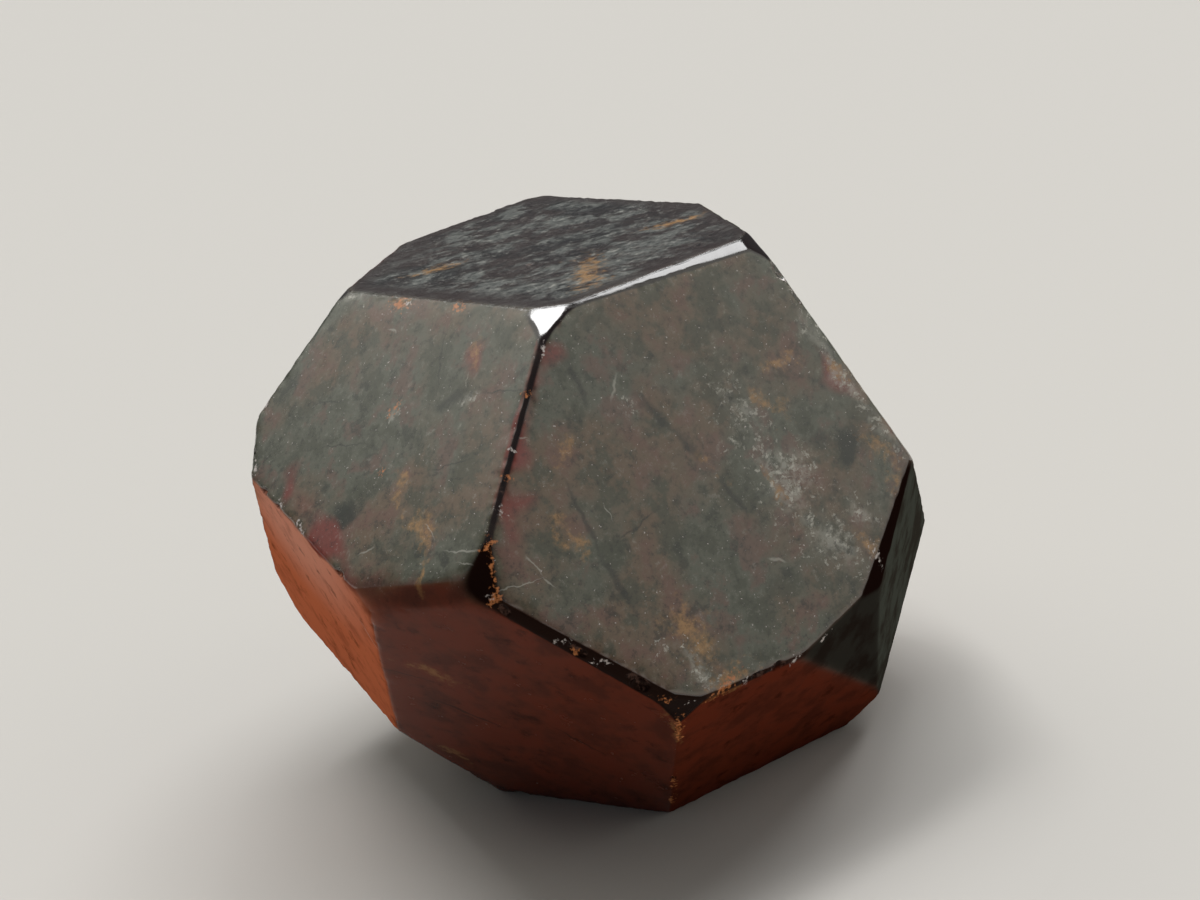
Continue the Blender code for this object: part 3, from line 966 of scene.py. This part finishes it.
fleck_edge = reckon("ADD", painted("pale"), reckon("MULTIPLY", fleck_grain, 11.0))
flecks = step(fleck_edge, 1.6, -0.3, 0.95)
haze = reckon("MULTIPLY", step(painted("pale"), 1.4, 0.1, 0.55), step(grain, 0.40, 0.62))
body_colour = mix(reckon("MULTIPLY", reckon("MAXIMUM", flecks, haze), mark_share), body_colour, PALE_GREY)

# Cracks and scratches
cracked = step(nearest_mark(unsteady, CRACKS), 1.4, 0.2, 0.6)
body_colour = mix(cracked, body_colour, CRACK_BLACK)
scratched = step(nearest_mark(unsteady, SCRATCHES), 1.2, 0.4, 0.42)
body_colour = mix(scratched, body_colour, PALE_GREY)

# The etched top: grey and pale streaks on black, brown at its rim and its left end
streak_axes = (streak_ways[0], streak_ways[1], (0, 0, 1))
streak_clouds = noise(placed(in_mm, (0, 0, 0), streak_axes, (3.6, 2.8, 1.5)), 1.0, 7, 0.68)
streak_lines = noise(placed(in_mm, (5, 0, 0), streak_axes, (0.8, 0.6, 0.8)), 1.0, 6, 0.65)
top_colour = mix(step(clouds, 0.40, 0.55), TOP_DARK, TOP_BROWN)
top_colour = mix(step(streak_clouds, 0.45, 0.58, 0.9), top_colour, TOP_GREY)
pale_streaks = reckon("MULTIPLY", step(streak_lines, 0.54, 0.70), step(streak_clouds, 0.42, 0.55))
top_colour = mix(pale_streaks, top_colour, TOP_PALE)
top_colour = mix(step(streak_lines, 0.47, 0.36, 0.9), top_colour, TOP_DARK)
top_colour = mix(step(speckle, 0.53, 0.68, 0.6), top_colour, TOP_PALE)
top_colour = mix(step(speckle, 0.49, 0.36, 0.8), top_colour, TOP_DARK)
top_colour = mix(step(rust_edge, 1.35, 0.0, 0.75), top_colour, RUST)
browned = reckon("MAXIMUM", painted("top_rim"), step(painted("red"), 1.4, 0.4, 0.8))
top_colour = mix(browned, top_colour, TOP_BROWN)
body_colour = mix(top_share, body_colour, top_colour)

# The painted cool shade on the right low face, the worn bands, the chips and the painted glints at the
# edges
cool_shade_colour = mix(step(mottle, 0.42, 0.62), COOL_SHADE_GREY, COOL_SHADE_DARK)
body_colour = mix(painted("cool_shade"), body_colour, cool_shade_colour)
body_colour = mix(step(worn_share, 0.2, 0.7), body_colour, BAND_BLACK)
chip_colour = mix(step(grain, 0.48, 0.60), BAND_BLACK, CHIP_PINK)
body_colour = mix(reckon("MULTIPLY", chip_share, 0.7), body_colour, chip_colour)
glint_breakup = reckon("MULTIPLY", reckon("SUBTRACT", 0.54, noise(in_mm, 3.0, 5, 0.6)), 7.0)
body_colour = mix(step(reckon("ADD", painted("amber"), glint_breakup), 1.4, 0.3), body_colour, AMBER)
body_colour = mix(step(reckon("ADD", painted("bright"), glint_breakup), 1.2, 0.2), body_colour, ALMOST_WHITE)
garnet_links.new(body_colour, garnet_surface.inputs["Base Color"])

# The polish: clear and a little uneven, duller on the etched top and the flecks, brighter on the
# worn bands and in the chips
GARNET_IOR = 1.79
POLISH_ROUGHNESS = 0.16
garnet_surface.inputs["IOR"].default_value = GARNET_IOR
polish = step(noise(in_mm, 0.5, 4, 0.6), 0.3, 0.8, 0.14)
dullness = reckon("ADD", POLISH_ROUGHNESS, polish)
dullness = reckon("MULTIPLY_ADD", top_share, 0.14, dullness)
dullness = reckon("MULTIPLY_ADD", flecks, 0.20, dullness)
dullness = reckon("MULTIPLY_ADD", worn_share, -0.08, dullness)
dullness = reckon("MULTIPLY_ADD", chip_share, -0.04, dullness)
garnet_links.new(dullness, garnet_surface.inputs["Roughness"])

# The finest relief, as a bump: the top's streaks, and a trace of the flecks and of the grain
RELIEF = 0.15
relief = reckon("MULTIPLY", top_share, reckon("MULTIPLY_ADD", streak_lines, 1.5, streak_clouds))
relief = reckon("ADD", relief, reckon("MULTIPLY", flecks, 0.06))
relief = reckon("ADD", relief, reckon("MULTIPLY", grain, 0.02))
bump = garnet_nodes.new("ShaderNodeBump")
bump.inputs["Distance"].default_value = RELIEF * MM
bump.inputs["Strength"].default_value = 1.0
garnet_links.new(relief, bump.inputs["Height"])
garnet_links.new(bump.outputs["Normal"], garnet_surface.inputs["Normal"])
crystal_mesh.materials.append(garnet)

# Three more copies of the garnet, which mirror less than the clear polish: two shaded copies, one
# for the lower faces, which mirrors little and tints that reddish, and one for the shaded ones among
# them, which mirrors nothing so that their painted colour shows, and the etched top.
# Each has how much it mirrors and the tint of that.
FINISHES = [
    ("garnet lower faces", 0.03, (1.0, 0.62, 0.48, 1)),
    ("garnet shaded faces", 0.0, (1.0, 1.0, 1.0, 1)),
    ("garnet etched top", 0.16, (1.0, 1.0, 1.0, 1)),
]
for finish_name, mirroring, mirror_tint in FINISHES:
    finished = garnet.copy()
    finished.name = finish_name
    finished_surface = finished.node_tree.nodes["Principled BSDF"]
    finished_surface.inputs["Specular IOR Level"].default_value = mirroring
    finished_surface.inputs["Specular Tint"].default_value = mirror_tint
    crystal_mesh.materials.append(finished)
crystal_mesh.polygons.foreach_set("material_index", finishes.astype(np.int32))

# ---- Floor, light and camera ----
# A plain pale floor, a dim grey room with two soft glows, and three round lights in the ceiling.
# The worn edges of the top mirror the lights, and the glows lay a sheen on the polished faces.

FLOOR_HALF = 8.0
FLOOR_COLOUR = (0.56, 0.54, 0.51, 1)
FLOOR_ROUGHNESS = 0.85
floor_mesh = bpy.data.meshes.new("floor")
floor_corners = [(-1, -1, 0), (1, -1, 0), (1, 1, 0), (-1, 1, 0)]
floor_mesh.from_pydata((np.array(floor_corners) * FLOOR_HALF).tolist(), [], [(0, 1, 2, 3)])
floor = bpy.data.objects.new("floor", floor_mesh)
bpy.context.scene.collection.objects.link(floor)
floor_finish = bpy.data.materials.new("pale floor")
floor_finish.use_nodes = True
floor_surface = floor_finish.node_tree.nodes["Principled BSDF"]
floor_surface.inputs["Base Color"].default_value = FLOOR_COLOUR
floor_surface.inputs["Roughness"].default_value = FLOOR_ROUGHNESS
floor_mesh.materials.append(floor_finish)

# The room: an even dim grey with two wide soft glows, each given by its compass angle, its rise
# and its peak. A glow fades from its inner to its outer angle. All angles are in degrees.
ROOM_GREY = (0.095, 0.10, 0.105)
GLOW_COLOUR = (1.0, 0.99, 0.90)
GLOWS = [
    (135, 50, 1.08, 14, 34),
    (-8, 28, 0.78, 8, 42),
]
world = bpy.data.worlds.new("studio")
world.use_nodes = True
world_nodes = world.node_tree.nodes
world_links = world.node_tree.links
world_place = world_nodes.new("ShaderNodeTexCoord")
brightness = None
for compass, rise, peak, inner_angle, outer_angle in GLOWS:
    facing = world_nodes.new("ShaderNodeVectorMath")
    facing.operation = "DOT_PRODUCT"
    facing.inputs[1].default_value = direction_at(compass, rise)
    world_links.new(world_place.outputs["Generated"], facing.inputs[0])
    fade = world_nodes.new("ShaderNodeMapRange")
    fade.interpolation_type = "SMOOTHSTEP"
    fade.inputs["From Min"].default_value = np.cos(radians(outer_angle))
    fade.inputs["From Max"].default_value = np.cos(radians(inner_angle))
    fade.inputs["To Max"].default_value = peak
    world_links.new(facing.outputs["Value"], fade.inputs["Value"])
    total = world_nodes.new("ShaderNodeMath")
    total.inputs[1].default_value = 0.0
    world_links.new(fade.outputs["Result"], total.inputs[0])
    if brightness:
        world_links.new(brightness, total.inputs[1])
    brightness = total.outputs[0]
room = world_nodes.new("ShaderNodeVectorMath")
room.operation = "MULTIPLY_ADD"
room.inputs[1].default_value = GLOW_COLOUR
room.inputs[2].default_value = ROOM_GREY
world_links.new(brightness, room.inputs[0])
world_links.new(room.outputs["Vector"], world_nodes["Background"].inputs["Color"])
bpy.context.scene.world = world
bpy.context.scene.view_settings.view_transform = "Standard"


def round_light(name, towards, half_angle, radiance):
    """A far round light: its strength is its radiance times the area of its disc in the sky."""
    light = bpy.data.lights.new(name, "SUN")
    light.angle = 2 * radians(half_angle)
    light.energy = radiance * np.pi * np.sin(radians(half_angle)) ** 2
    lamp = bpy.data.objects.new(name, light)
    way = np.array(towards) / np.linalg.norm(towards)
    turn = np.eye(4)
    turn[:3, :3] = np.stack([*right_and_up(way), way], axis=1)
    lamp.matrix_world = Matrix(turn.tolist())
    bpy.context.scene.collection.objects.link(lamp)


# The way to each light, half its width in degrees and its radiance
round_light("right ceiling light", (0.44, 0.32, 0.83), 13, 6.5)
round_light("middle ceiling light", (0.12, 0.33, 0.93), 12, 6.5)
round_light("left ceiling light", (-0.20, 0.28, 0.94), 10, 11.0)

# The camera's place, in mm from the crystal's middle, its turns, its sensor and lens in mm, and
# how near it sees, in metres
CAMERA_PLACE = np.array((1.85, -126.81, 54.49))
LOOKING_DOWN = radians(21.33)
ROLL = radians(11.58)
SENSOR_WIDTH = 36.0
LENS = 46.5
NEAREST = 0.005
lens = bpy.data.cameras.new("camera")
lens.sensor_width = SENSOR_WIDTH
lens.lens = LENS
lens.clip_start = NEAREST
camera = bpy.data.objects.new("camera", lens)
turned = Matrix.Rotation(np.pi / 2 - LOOKING_DOWN, 4, "X") @ Matrix.Rotation(-ROLL, 4, "Z")
camera.matrix_world = Matrix.Translation((CAMERA_PLACE + MIDDLE) * MM) @ turned
bpy.context.scene.collection.objects.link(camera)
bpy.context.scene.camera = camera
